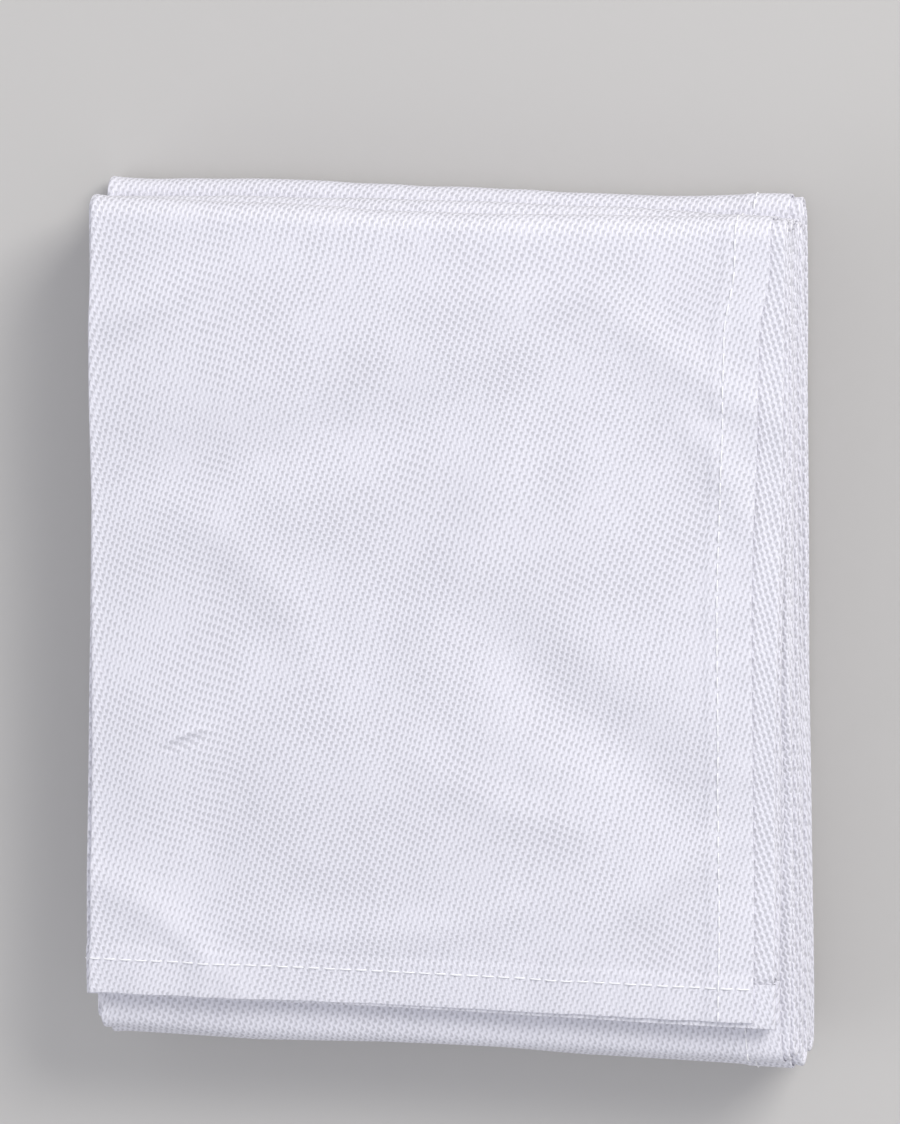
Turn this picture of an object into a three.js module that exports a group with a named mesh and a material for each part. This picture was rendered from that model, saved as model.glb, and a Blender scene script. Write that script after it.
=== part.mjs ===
// Mosquito net for a stroller, folded back and forth into a flat packet, as it is stored.
// Millimetres, +Z up. The packet lies on its back: +Z is its face, +Y its top end, +X its right.
// The net is one hemmed sheet. Each layer here is eight plies of it pressed together.
import * as THREE from "three";

// Outside of the packet
const PACKET_WIDTH = 126;
const PACKET_LENGTH = 150;
const PACKET_HEIGHT = 27.2;

// Layers and the U-turns that join them
const LAYERS = 8;
const LAYER_THICKNESS = 2.5;
const LAYER_PITCH = (PACKET_HEIGHT - LAYER_THICKNESS) / (LAYERS - 1);
const TURN_RADIUS = LAYER_PITCH / 2;
const HALF_THICKNESS = LAYER_THICKNESS / 2;

// Hem across the two free ends
const HEM_WIDTH = 9;
const HEM_SWELL = 0.3;

// Folds from the free end underneath (first row) to the free end on the face (last row). Odd rows
// turn at the top end, even rows at the bottom end. Each number says how far short of the packet's
// end or side the sheet stops there.
const FOLDS = [
  { end: 3.2, left: 1.6, right: 0.8 },
  { end: 0.0, left: 0.3, right: 1.9 },
  { end: 0.9, left: 1.5, right: 0.2 },
  { end: 2.1, left: 0.0, right: 1.4 },
  { end: 0.0, left: 1.8, right: 0.0 },
  { end: 0.7, left: 0.6, right: 1.7 },
  { end: 2.0, left: 1.1, right: 0.4 },
  { end: 0.3, left: 2.2, right: 1.0 },
  { end: 9.5, left: 0.5, right: 2.8 },
];

// Soft swells that run through the whole pile: height, wave length, direction and start
const SWELLS = [
  { height: 0.45, wave: 118, heading: 25, phase: 40 },
  { height: 0.3, wave: 74, heading: 112, phase: 200 },
  { height: 0.2, wave: 52, heading: 63, phase: 310 },
];

// Creases pressed into the face: middle, direction, length, width and depth
const CREASES = [
  { x: -22, y: 34, heading: 14, length: 62, width: 15, depth: 1.5 },
  { x: 27, y: -12, heading: -38, length: 54, width: 14, depth: 1.3 },
  { x: -38, y: -34, heading: 72, length: 44, width: 13, depth: 1.1 },
];

// How far the face falls away towards the packet's sides and ends
const EDGE_DROP = 1.1;
const EDGE_DROP_POWER = 6;

// Fineness of the mesh
const STEPS_PLAIN_LAYER = 6;
const STEPS_FACE_LAYER = 18;
const STEPS_TURN = 6;
const POINTS_ACROSS = 11;
const EDGE_ARC_ANGLES = [15, 50];

// Stations back from a free edge, which is rounded off, and over the step where its hem stops
const FREE_EDGE_PLACES = [
  { back: 0.0, share: 0.4 },
  { back: 0.5, share: 0.8 },
  { back: 1.4, share: 1.0 },
  { back: HEM_WIDTH, share: 1.0 },
  { back: HEM_WIDTH + 1.5, share: 1.0 },
];

const radians = THREE.MathUtils.degToRad;
const lerp = THREE.MathUtils.lerp;

// +1 at the top end, -1 at the bottom end
function endSide(fold) {
  return fold % 2 === 1 ? 1 : -1;
}

function isFreeEnd(fold) {
  return fold === 0 || fold === LAYERS;
}

// Y where the straight run of a layer stops at a fold: the turn's centre, or the free edge
function foldY(fold) {
  const outside = PACKET_LENGTH / 2 - FOLDS[fold].end;
  const inset = isFreeEnd(fold) ? 0 : TURN_RADIUS + HALF_THICKNESS;
  return endSide(fold) * (outside - inset);
}

// Stations along a layer's straight run
function layerStations(layer) {
  const fromY = foldY(layer);
  const toY = foldY(layer + 1);
  const heading = Math.sign(toY - fromY);
  const run = Math.abs(toY - fromY);
  const steps = layer === LAYERS - 1 ? STEPS_FACE_LAYER : STEPS_PLAIN_LAYER;

  const places = [];
  for (let step = 0; step <= steps; step++) {
    const onFreeEdge = (step === 0 && isFreeEnd(layer)) || (step === steps && isFreeEnd(layer + 1));
    if (!onFreeEdge) places.push({ along: (run * step) / steps, share: 1 });
  }
  for (const { back, share } of FREE_EDGE_PLACES) {
    if (isFreeEnd(layer)) places.push({ along: back, share });
    if (isFreeEnd(layer + 1)) places.push({ along: run - back, share });
  }

  return places
    .sort((a, b) => a.along - b.along)
    .map(({ along, share }) => ({
      y: fromY + heading * along,
      z: HALF_THICKNESS + layer * LAYER_PITCH,
      normalY: 0,
      normalZ: heading,
      fold: layer + along / run,
      share,
      fromFreeEnd: layer === 0 ? along : layer === LAYERS - 1 ? run - along : Infinity,
    }));
}

// Stations round the U-turn that carries a layer up into the next one
function turnStations(layer) {
  const side = endSide(layer + 1);
  const centreY = foldY(layer + 1);
  const centreZ = HALF_THICKNESS + (layer + 0.5) * LAYER_PITCH;
  const stations = [];
  for (let step = 1; step < STEPS_TURN; step++) {
    const angle = -Math.PI / 2 + (Math.PI * step) / STEPS_TURN;
    const outY = side * Math.cos(angle);
    const outZ = Math.sin(angle);
    stations.push({
      y: centreY + TURN_RADIUS * outY,
      z: centreZ + TURN_RADIUS * outZ,
      normalY: -side * outY,
      normalZ: -side * outZ,
      fold: layer + 1,
      share: 1,
      fromFreeEnd: Infinity,
    });
  }
  return stations;
}

function foldedLine() {
  const stations = [];
  for (let layer = 0; layer < LAYERS; layer++) {
    stations.push(...layerStations(layer));
    if (layer < LAYERS - 1) stations.push(...turnStations(layer));
  }
  return stations;
}

// X of the sheet's left or right edge, which wanders from fold to fold
function edgeX(name, fold) {
  const before = Math.min(Math.floor(fold), LAYERS - 1);
  const trim = lerp(FOLDS[before][name], FOLDS[before + 1][name], fold - before);
  return (name === "left" ? -1 : 1) * (PACKET_WIDTH / 2 - trim);
}

// Closed outline of the sheet's section at a station: over one face from left to right and back
// under the other, with both edges rounded. A hem thickens the sheet upwards.
function sectionOutline(station) {
  const left = edgeX("left", station.fold) + HALF_THICKNESS;
  const right = edgeX("right", station.fold) - HALF_THICKNESS;
  const half = HALF_THICKNESS * station.share;

  const upper = [];
  for (const angle of EDGE_ARC_ANGLES) {
    upper.push({ x: left - HALF_THICKNESS * Math.cos(radians(angle)), h: half * Math.sin(radians(angle)) });
  }
  for (let point = 0; point < POINTS_ACROSS; point++) {
    upper.push({ x: lerp(left, right, point / (POINTS_ACROSS - 1)), h: half });
  }
  for (const angle of [...EDGE_ARC_ANGLES].reverse()) {
    upper.push({ x: right + HALF_THICKNESS * Math.cos(radians(angle)), h: half * Math.sin(radians(angle)) });
  }
  const lower = upper.map(({ x, h }) => ({ x, h: -h })).reverse();
  if (station.fromFreeEnd > HEM_WIDTH) return [...upper, ...lower];

  const swell = (h) => (h * station.normalZ > 0 ? h * (1 + HEM_SWELL / HALF_THICKNESS) : h);
  return [...upper, ...lower].map(({ x, h }) => ({ x, h: swell(h) }));
}

// Fall of the face towards the packet's rim, plus the long swells
function pileRise(x, y) {
  const sideShare = Math.abs((2 * x) / PACKET_WIDTH) ** EDGE_DROP_POWER;
  const endShare = Math.abs((2 * y) / PACKET_LENGTH) ** EDGE_DROP_POWER;
  let rise = -EDGE_DROP * Math.min(1, sideShare + endShare);
  for (const { height, wave, heading, phase } of SWELLS) {
    const along = x * Math.cos(radians(heading)) + y * Math.sin(radians(heading));
    rise += height * Math.sin((2 * Math.PI * along) / wave + radians(phase));
  }
  return rise;
}

function creaseDepth(x, y) {
  let depth = 0;
  for (const crease of CREASES) {
    const cos = Math.cos(radians(crease.heading));
    const sin = Math.sin(radians(crease.heading));
    const along = ((x - crease.x) * cos + (y - crease.y) * sin) / (crease.length / 2);
    const across = ((y - crease.y) * cos - (x - crease.x) * sin) / (crease.width / 2);
    depth += crease.depth * Math.exp(-(along ** 2) - across ** 2);
  }
  return depth;
}

// The pile gives a little under its own softness: nothing underneath, all of it on the face, so
// the layers keep clear of each other and the underside stays flat
function settle(point) {
  const share = point.z / PACKET_HEIGHT;
  point.z += share * pileRise(point.x, point.y) - share ** 3 * creaseDepth(point.x, point.y);
  return point;
}

function foldedSheetGeometry() {
  const sections = foldedLine().map((station) =>
    sectionOutline(station).map(({ x, h }) =>
      settle(new THREE.Vector3(x, station.y + h * station.normalY, station.z + h * station.normalZ)),
    ),
  );
  const count = sections[0].length;
  const vertex = (section, point) => section * count + (point % count);
  const triangles = [];

  for (let section = 0; section < sections.length - 1; section++) {
    for (let point = 0; point < count; point++) {
      const a = vertex(section, point);
      const b = vertex(section, point + 1);
      const c = vertex(section + 1, point + 1);
      const d = vertex(section + 1, point);
      triangles.push(a, b, c, a, c, d);
    }
  }

  // A free end is closed by strips between the two faces' matching points
  const last = sections.length - 1;
  for (let point = 0; point < count / 2 - 1; point++) {
    const opposite = count - 1 - point;
    triangles.push(vertex(0, point), vertex(0, opposite), vertex(0, opposite - 1));
    triangles.push(vertex(0, point), vertex(0, opposite - 1), vertex(0, point + 1));
    triangles.push(vertex(last, point), vertex(last, opposite - 1), vertex(last, opposite));
    triangles.push(vertex(last, point), vertex(last, point + 1), vertex(last, opposite - 1));
  }

  const geometry = new THREE.BufferGeometry();
  geometry.setFromPoints(sections.flat());
  geometry.setIndex(triangles);
  geometry.computeVertexNormals();
  return geometry;
}

const netMaterial = new THREE.MeshStandardMaterial({ color: 0xe1e1ec, roughness: 0.85, metalness: 0 });

const foldedNet = new THREE.Mesh(foldedSheetGeometry(), netMaterial);
foldedNet.name = "folded_net";

// Origin at the middle of the packet's underside
foldedNet.geometry.computeBoundingBox();
const { min, max } = foldedNet.geometry.boundingBox;
foldedNet.position.set(-(min.x + max.x) / 2, -(min.y + max.y) / 2, -min.z);

const packet = new THREE.Group();
packet.add(foldedNet);

export default packet;
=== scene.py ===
"""Folded mosquito net for a stroller: the visual model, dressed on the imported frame.

The net is one hemmed sheet of fine warp-knitted mesh. It is folded across its width into plies, and
the strip of plies is folded back and forth along its length into a flat packet. The sheet here has
every ply, its true cut size, and a knitted openwork that follows the cloth. Metres, +Z up.
"""
from __future__ import annotations

import logging
import math
from dataclasses import dataclass, field
from enum import Enum

import bpy
import numpy as np
from mathutils import Matrix, Vector

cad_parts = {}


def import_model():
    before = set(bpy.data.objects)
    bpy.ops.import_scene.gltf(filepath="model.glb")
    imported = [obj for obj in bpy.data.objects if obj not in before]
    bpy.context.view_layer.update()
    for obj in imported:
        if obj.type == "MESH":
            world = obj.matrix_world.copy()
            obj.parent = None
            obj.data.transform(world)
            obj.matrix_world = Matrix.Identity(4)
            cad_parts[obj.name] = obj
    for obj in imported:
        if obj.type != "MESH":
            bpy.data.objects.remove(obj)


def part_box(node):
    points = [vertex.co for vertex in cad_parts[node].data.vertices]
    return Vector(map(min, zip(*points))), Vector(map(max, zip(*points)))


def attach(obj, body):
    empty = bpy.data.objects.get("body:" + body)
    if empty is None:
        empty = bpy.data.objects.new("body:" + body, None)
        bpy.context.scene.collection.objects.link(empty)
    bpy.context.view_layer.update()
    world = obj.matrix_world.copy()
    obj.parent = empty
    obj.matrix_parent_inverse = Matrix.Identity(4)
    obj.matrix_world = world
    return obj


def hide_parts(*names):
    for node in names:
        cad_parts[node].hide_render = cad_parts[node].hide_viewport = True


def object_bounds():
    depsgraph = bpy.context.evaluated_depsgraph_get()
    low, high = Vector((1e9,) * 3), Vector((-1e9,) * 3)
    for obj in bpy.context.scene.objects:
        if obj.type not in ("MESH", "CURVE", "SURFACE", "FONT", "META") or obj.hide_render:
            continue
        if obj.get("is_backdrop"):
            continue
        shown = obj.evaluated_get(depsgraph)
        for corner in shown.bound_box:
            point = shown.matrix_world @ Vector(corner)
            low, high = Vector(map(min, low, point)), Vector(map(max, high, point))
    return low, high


LOG = logging.getLogger("folded_net")

MM = 0.001
CAD_NODE = "folded_net"
BODY = "root"
CLOTH_UV = "cloth"
SPREAD = "spread"
OUTWARD = "outward"
TINY = 1e-9

# Types that several functions share
Colour = tuple[float, float, float, float]
Pair = tuple[object, object]
Feeds = dict[str | int, object]
Sockets = bpy.types.bpy_prop_collection


class Slot(Enum):
    """The material slots."""

    NET = "net"
    THREAD = "thread"


class Seam(Enum):
    """The four hemmed edges of the net, named by where they run on the flat cloth."""

    NEAR_SIDE = "near_side"
    FAR_SIDE = "far_side"
    START_END = "start_end"
    FACE_END = "face_end"


# Small tools


class SoftNoise:
    """Smooth seeded waviness: random values on a grid, blended between."""

    def __init__(self, seed: int, size: int = 64) -> None:
        """Draw the grid of values.

        Args:
            seed: Fixes the draw, so every run gives the same cloth.
            size: Number of values each way before the pattern repeats.
        """
        self.size = size
        self.values = np.random.default_rng(seed).uniform(-1.0, 1.0, (size, size))

    def over(self, x: np.ndarray, y: np.ndarray | float) -> np.ndarray:
        """Return values from -1 to 1 at places given in grid steps.

        Args:
            x: Places along the first direction.
            y: Places along the second direction.

        Returns:
            The blended values, in the broadcast shape of x and y.
        """
        x, y = np.broadcast_arrays(np.asarray(x, float), np.asarray(y, float))
        column, row = np.floor(x).astype(int), np.floor(y).astype(int)
        share_x, share_y = x - column, y - row
        share_x = share_x * share_x * (3 - 2 * share_x)
        share_y = share_y * share_y * (3 - 2 * share_y)

        def corner(step_x: int, step_y: int) -> np.ndarray:
            """Return the drawn values at one corner of each place's grid square."""
            return self.values[(column + step_x) % self.size, (row + step_y) % self.size]

        near = corner(0, 0) * (1 - share_x) + corner(1, 0) * share_x
        far = corner(0, 1) * (1 - share_x) + corner(1, 1) * share_x
        return near * (1 - share_y) + far * share_y


@dataclass(frozen=True)
class Waves:
    """Smooth random waves: their length in metres, and the part of the noise that they read."""

    length: float
    start: float = 0.0
    line_step: float = 3.7

    def along(
        self, noise: SoftNoise, place: np.ndarray, line: np.ndarray | float = 0.0
    ) -> np.ndarray:
        """Read them along lines on the cloth, each with waves of its own.

        Args:
            noise: The seeded noise.
            place: Places along the line, in metres.
            line: Number of the ply, fold or layer.

        Returns:
            Values from -1 to 1.
        """
        return noise.over(place / self.length, line * self.line_step + self.start)

    def over(self, noise: SoftNoise, x: np.ndarray, y: np.ndarray) -> np.ndarray:
        """Read them over a surface.

        Args:
            noise: The seeded noise.
            x: Places along the first direction, in metres.
            y: Places along the second direction, in metres.

        Returns:
            Values from -1 to 1.
        """
        return noise.over(x / self.length + self.start, y / self.length + self.start)


def from_zero(wave: np.ndarray) -> np.ndarray:
    """Turn waves from -1 to 1 into waves from 0 to 1."""
    return 0.5 + 0.5 * wave


def ease(value: np.ndarray, start: float, end: float) -> np.ndarray:
    """Rise smoothly from 0 at start to 1 at end.

    Args:
        value: Where to read the curve.
        start: Value at which it leaves 0.
        end: Value at which it reaches 1.

    Returns:
        The curve's height, from 0 to 1.
    """
    share = np.clip((value - start) / (end - start), 0.0, 1.0)
    return share * share * (3 - 2 * share)


def turned(x: np.ndarray, y: np.ndarray, heading: float) -> tuple[np.ndarray, np.ndarray]:
    """Return places along and across a heading, in degrees from the first direction."""
    cos, sin = math.cos(math.radians(heading)), math.sin(math.radians(heading))
    return x * cos + y * sin, y * cos - x * sin


class Graph:
    """A short way to add and wire the nodes of one tree."""

    def __init__(self, tree: bpy.types.NodeTree) -> None:
        """Keep the tree that the nodes go into.

        Args:
            tree: A material's tree or a node group.
        """
        self.tree = tree

    def feed(self, node: bpy.types.Node, values: Feeds) -> None:
        """Wire a node's inputs to other sockets, or set their values.

        Args:
            node: The node.
            values: An output socket to link from or a plain value, by the input's name or number.
        """
        for name, value in values.items():
            if isinstance(value, bpy.types.NodeSocket):
                self.tree.links.new(value, node.inputs[name])
            else:
                node.inputs[name].default_value = value

    def node(self, kind: str, values: Feeds | None = None, **settings: object) -> bpy.types.Node:
        """Add a node, set its properties and feed its inputs.

        Args:
            kind: Blender's type name of the node.
            values: What its inputs take.
            **settings: Properties to set on it.

        Returns:
            The new node.
        """
        made = self.tree.nodes.new(kind)
        for name, value in settings.items():
            setattr(made, name, value)
        self.feed(made, values or {})
        return made

    def out(
        self, kind: str, values: Feeds | None = None, **settings: object
    ) -> bpy.types.NodeSocket:
        """Add a node as above, and return its first output instead."""
        return self.node(kind, values, **settings).outputs[0]

    def math(self, operation: str, *values: object, clamp: bool = False) -> bpy.types.NodeSocket:
        """Add a Math node.

        Args:
            operation: What it works out, such as "ADD".
            *values: Its inputs, as sockets or numbers.
            clamp: Whether the result is kept from 0 to 1.

        Returns:
            Its output socket.
        """
        numbered = dict(enumerate(values))
        return self.out("ShaderNodeMath", numbered, operation=operation, use_clamp=clamp)

    def between(self, value: object, given: Pair, result: Pair) -> bpy.types.NodeSocket:
        """Add a smooth Map Range node.

        Args:
            value: The input to map.
            given: The two inputs between which it turns from one result to the other.
            result: The results at those two inputs.

        Returns:
            Its output socket.
        """
        names = ("Value", "From Min", "From Max", "To Min", "To Max")
        values = dict(zip(names, (value, *given, *result)))
        return self.out("ShaderNodeMapRange", values, interpolation_type="SMOOTHSTEP")

    def noise(self, place: object, scale: float, detail: float = 2.0) -> bpy.types.NodeSocket:
        """Add a Noise Texture node.

        Args:
            place: Where it is read.
            scale: Its scale.
            detail: Its detail.

        Returns:
            Its value, from 0 to 1.
        """
        values = {"Vector": place, "Scale": scale, "Detail": detail}
        return self.out("ShaderNodeTexNoise", values)

    def tint(self, colour: object, value: object) -> bpy.types.NodeSocket:
        """Make a colour brighter or darker by a factor, and return it."""
        return self.out("ShaderNodeHueSaturation", {"Color": colour, "Value": value})


def new_group(
    name: str, kind: str, inputs: dict[str, str], outputs: dict[str, str]
) -> tuple[Graph, Sockets, bpy.types.Node]:
    """Make a node group with named sockets.

    Args:
        name: The group's name.
        kind: Its tree type.
        inputs: The type of each input, such as Float, by its name.
        outputs: The type of each output, likewise.

    Returns:
        The group's graph, the sockets that bring its inputs, and the node that takes its outputs.
    """
    tree = bpy.data.node_groups.new(name, kind)
    for in_out, sockets in (("INPUT", inputs), ("OUTPUT", outputs)):
        for socket, form in sockets.items():
            tree.interface.new_socket(name=socket, in_out=in_out, socket_type=f"NodeSocket{form}")
    graph = Graph(tree)
    return graph, graph.node("NodeGroupInput").outputs, graph.node("NodeGroupOutput")


def plain_object(name: str, data: bpy.types.ID) -> bpy.types.Object:
    """Put a mesh, light or camera in the scene as an object at the origin.

    Args:
        name: The object's name.
        data: What it shows, a mesh with its place in its points.

    Returns:
        The new object.
    """
    made = bpy.data.objects.new(name, data)
    bpy.context.scene.collection.objects.link(made)
    return made


# Finishes


def openwork_group() -> bpy.types.NodeTree:
    """Build the knitted openwork: wales that lean across the cloth, with small oval holes between.

    Each hole lies between two wales and two courses. Fine filaments still cross it, so the cover
    there is the given one and not 0. The holes' width follows the spread, and varies by chance too.

    Returns:
        A group that takes a place on the flat cloth in metres, and gives the yarn's cover from 0 to
        1, its relief from 0 to 1, and how far the place lies down between two wales, which the net's
        material turns into painted shade.
    """
    course_askew = 0.17
    hole_rim = (0.4, 1.6)
    wale_flank = (0.12, 0.5)
    link_flank = (0.3, 0.5)
    link_height = 0.2
    loops_per_course = 2
    loop_height = 0.08
    knit = ("Wale Spacing", "Course Spacing", "Lean", "Sway")
    holes = ("Hole Width", "Hole Length", "Hole Cover", "Spread", "Uneven")
    graph, given, result = new_group(
        "knitted_openwork",
        "ShaderNodeTree",
        {"Cloth Place": "Vector"} | dict.fromkeys(knit + holes, "Float"),
        dict.fromkeys(("Cover", "Relief", "Hollow"), "Float"),
    )

    leaning = {"Vector": given["Cloth Place"], "Angle": given["Lean"]}
    leant = graph.out("ShaderNodeVectorRotate", leaning, rotation_type="Z_AXIS")
    across, along, _ = graph.node("ShaderNodeSeparateXYZ", {0: leant}).outputs

    # Courses lie a little askew of the wales, and each wale sways from course to course
    askew = graph.math("MULTIPLY_ADD", across, course_askew, along)
    course = graph.math("DIVIDE", askew, given["Course Spacing"])
    sway = graph.math("COSINE", graph.math("MULTIPLY", course, math.tau))
    wale = graph.math("DIVIDE", across, given["Wale Spacing"])
    wale = graph.math("MULTIPLY_ADD", sway, given["Sway"], wale)

    from_hole_x, from_hole_y = (
        graph.math("ABSOLUTE", graph.math("SUBTRACT", graph.math("FRACT", count), 0.5))
        for count in (wale, course)
    )
    cell = dict(enumerate(graph.math("FLOOR", count) for count in (wale, course)))
    cell = graph.out("ShaderNodeCombineXYZ", cell)
    chance = graph.out("ShaderNodeTexWhiteNoise", {"Vector": cell}, noise_dimensions="2D")
    uneven = graph.math("MULTIPLY_ADD", chance, given["Uneven"], given["Spread"])
    oval_x = graph.math("MULTIPLY", given["Hole Width"], uneven)
    oval_x = graph.math("DIVIDE", from_hole_x, oval_x)
    oval_y = graph.math("DIVIDE", from_hole_y, given["Hole Length"])
    square_x = graph.math("MULTIPLY", oval_x, oval_x)
    from_hole = graph.math("MULTIPLY_ADD", oval_y, oval_y, square_x)

    # Wales stand proud, links between them lie lower, and loops ripple along both
    wale_ridge = graph.between(from_hole_x, wale_flank, (0.0, 1.0))
    link_ridge = graph.between(from_hole_y, link_flank, (0.0, link_height))
    ridge = graph.math("MAXIMUM", wale_ridge, link_ridge)
    loops = graph.math("MULTIPLY", course, loops_per_course * math.tau)
    loops = graph.math("SINE", loops)
    graph.feed(
        result,
        {
            "Cover": graph.between(from_hole, hole_rim, (given["Hole Cover"], 1.0)),
            "Relief": graph.math("MULTIPLY_ADD", loops, loop_height, ridge),
            "Hollow": graph.math("SUBTRACT", 1.0, wale_ridge, clamp=True),
        },
    )
    return graph.tree


def fibre_group() -> bpy.types.NodeTree:
    """Build the fibre look shared by the net's yarn and the sewing thread.

    Returns:
        A group that takes a place, a colour and an amount of painted shade, and gives the colour
        slightly mottled and darkened by that painted shade, a roughness and the fine relief of the
        filaments.
    """
    cloud_scale = 55.0
    filament_scale = 1500.0
    filament_detail = 1.0
    roughness_spread = 0.16
    graph, given, result = new_group(
        "polyester_fibre",
        "ShaderNodeTree",
        {"Place": "Vector", "Colour": "Color"}
        | dict.fromkeys(("Shade", "Mottle", "Roughness"), "Float"),
        {"Colour": "Color", "Roughness": "Float", "Filaments": "Float"},
    )

    cloud = graph.noise(given["Place"], cloud_scale)
    speck = graph.noise(given["Place"], filament_scale, filament_detail)
    spread = graph.math("MULTIPLY", graph.math("SUBTRACT", cloud, 0.5), given["Mottle"])
    # Painted shade: the Shade input darkens the colour, standing in for shade in the knit's hollows
    value = graph.math("SUBTRACT", graph.math("ADD", 1.0, spread), given["Shade"])
    uneven = graph.math("MULTIPLY", graph.math("SUBTRACT", speck, 0.5), roughness_spread)
    graph.feed(
        result,
        {
            "Colour": graph.tint(given["Colour"], value),
            "Roughness": graph.math("ADD", given["Roughness"], uneven, clamp=True),
            "Filaments": speck,
        },
    )
    return graph.tree


def new_material(name: str) -> tuple[bpy.types.Material, Graph, bpy.types.Node]:
    """Make a material and find its shader.

    Args:
        name: The material's name.

    Returns:
        The material, its graph and its Principled BSDF node.
    """
    made = bpy.data.materials.new(name)
    made.use_nodes = True
    shader = next(n for n in made.node_tree.nodes if n.type == "BSDF_PRINCIPLED")
    return made, Graph(made.node_tree), shader


@dataclass(frozen=True)
class FibreFinish:
    """White polyester fibre, as the net's yarn and the sewing thread both have it."""

    colour: Colour
    roughness: float
    mottle: float
    relief_depth: float
    relief_strength: float

    def _yarn(
        self, graph: Graph, fibre: bpy.types.NodeTree, place: object, painted_shade: object
    ) -> bpy.types.Node:
        """Add the fibre look in this finish's own colour.

        Args:
            graph: The material's graph.
            fibre: The shared fibre group.
            place: Where it is read.
            painted_shade: How much darker painted shade makes it there, from 0 to 1.

        Returns:
            The group's node.
        """
        values = {
            "Place": place,
            "Colour": self.colour,
            "Shade": painted_shade,
            "Mottle": self.mottle,
            "Roughness": self.roughness,
        }
        return graph.node("ShaderNodeGroup", values, node_tree=fibre)

    def _dress(
        self, graph: Graph, shader: bpy.types.Node, yarn: bpy.types.Node, height: object
    ) -> None:
        """Feed the shader with the yarn's look and a relief.

        Args:
            graph: The material's graph.
            shader: Its shader.
            yarn: The node of the fibre look.
            height: The relief's height, from 0 to 1.
        """
        depth = {"Distance": self.relief_depth, "Strength": self.relief_strength}
        values = {
            "Base Color": yarn.outputs["Colour"],
            "Roughness": yarn.outputs["Roughness"],
            "Normal": graph.out("ShaderNodeBump", depth | {"Height": height}),
        }
        graph.feed(shader, values)


@dataclass(frozen=True)
class NetFinish(FibreFinish):
    """White polyester mesh: cool white yarn with small oval holes in leaning rows, and painted shade
    between the wales.
    """

    colour: Colour = (0.855, 0.85, 0.925, 1.0)
    roughness: float = 0.62
    mottle: float = 0.05
    relief_depth: float = 0.2 * MM
    relief_strength: float = 0.45
    wale_spacing: float = 0.98 * MM
    course_spacing: float = 1.23 * MM
    lean: float = math.radians(18.0)
    sway: float = 0.14
    hole_width: float = 0.2
    hole_length: float = 0.33
    hole_cover: float = 0.76
    uneven: float = 0.8
    painted_hollow_shade: float = 0.15
    sheen: float = 0.12
    sheen_roughness: float = 0.5

    def material(
        self, fibre: bpy.types.NodeTree, openwork: bpy.types.NodeTree
    ) -> bpy.types.Material:
        """Build the material.

        Args:
            fibre: The shared fibre group.
            openwork: The group of the knit.

        Returns:
            The finished material, which reads the cloth's own UV map in metres.
        """
        made, graph, shader = new_material("net_mesh")
        cloth = graph.out("ShaderNodeUVMap", uv_map=CLOTH_UV)
        spread = graph.node("ShaderNodeAttribute", attribute_name=SPREAD).outputs["Fac"]
        values = {
            "Cloth Place": cloth,
            "Wale Spacing": self.wale_spacing,
            "Course Spacing": self.course_spacing,
            "Lean": self.lean,
            "Sway": self.sway,
            "Hole Width": self.hole_width,
            "Hole Length": self.hole_length,
            "Hole Cover": self.hole_cover,
            "Spread": spread,
            "Uneven": self.uneven,
        }
        knit = graph.node("ShaderNodeGroup", values, node_tree=openwork).outputs
        # Painted shade: the yarn's colour is darkened in the hollows between the wales, where shade
        # falls
        painted_shade = graph.math("MULTIPLY", knit["Hollow"], self.painted_hollow_shade)
        yarn = self._yarn(graph, fibre, cloth, painted_shade)
        self._dress(graph, shader, yarn, knit["Relief"])
        sheen = {"Sheen Weight": self.sheen, "Sheen Roughness": self.sheen_roughness}
        graph.feed(shader, {"Alpha": knit["Cover"]} | sheen)
        return made


@dataclass(frozen=True)
class ThreadFinish(FibreFinish):
    """White sewing thread with a slight lustre."""

    colour: Colour = (0.93, 0.93, 0.95, 1.0)
    roughness: float = 0.45
    mottle: float = 0.08
    relief_depth: float = 0.05 * MM
    relief_strength: float = 0.6

    def material(self, fibre: bpy.types.NodeTree) -> bpy.types.Material:
        """Build the material.

        Args:
            fibre: The shared fibre group.

        Returns:
            The finished material, which reads object coordinates.
        """
        made, graph, shader = new_material("hem_thread")
        place = graph.node("ShaderNodeTexCoord").outputs["Object"]
        yarn = self._yarn(graph, fibre, place, 0.0)
        self._dress(graph, shader, yarn, yarn.outputs["Filaments"])
        return made


@dataclass(frozen=True)
class FloorFinish:
    """Plain pale matt floor."""

    colour: Colour = (0.56, 0.55, 0.535, 1.0)
    roughness: float = 0.9
    cloud_scale: float = 3.0
    cloud_range: tuple[float, float] = (0.2, 0.8)
    cloud_depth: float = 0.02

    def material(self) -> bpy.types.Material:
        """Build the material.

        Returns:
            The finished material, very faintly clouded.
        """
        made, graph, shader = new_material("studio_floor")
        cloud = graph.noise(graph.node("ShaderNodeTexCoord").outputs["Object"], self.cloud_scale)
        shades = (1 - self.cloud_depth, 1 + self.cloud_depth)
        value = graph.between(cloud, self.cloud_range, shades)
        colour = graph.tint(self.colour, value)
        graph.feed(shader, {"Base Color": colour, "Roughness": self.roughness})
        return made


# The folded sheet


@dataclass(frozen=True)
class Fold:
    """How far short of the packet's end and sides the sheet stops at one fold, in millimetres."""

    end: float
    left: float
    right: float


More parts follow.
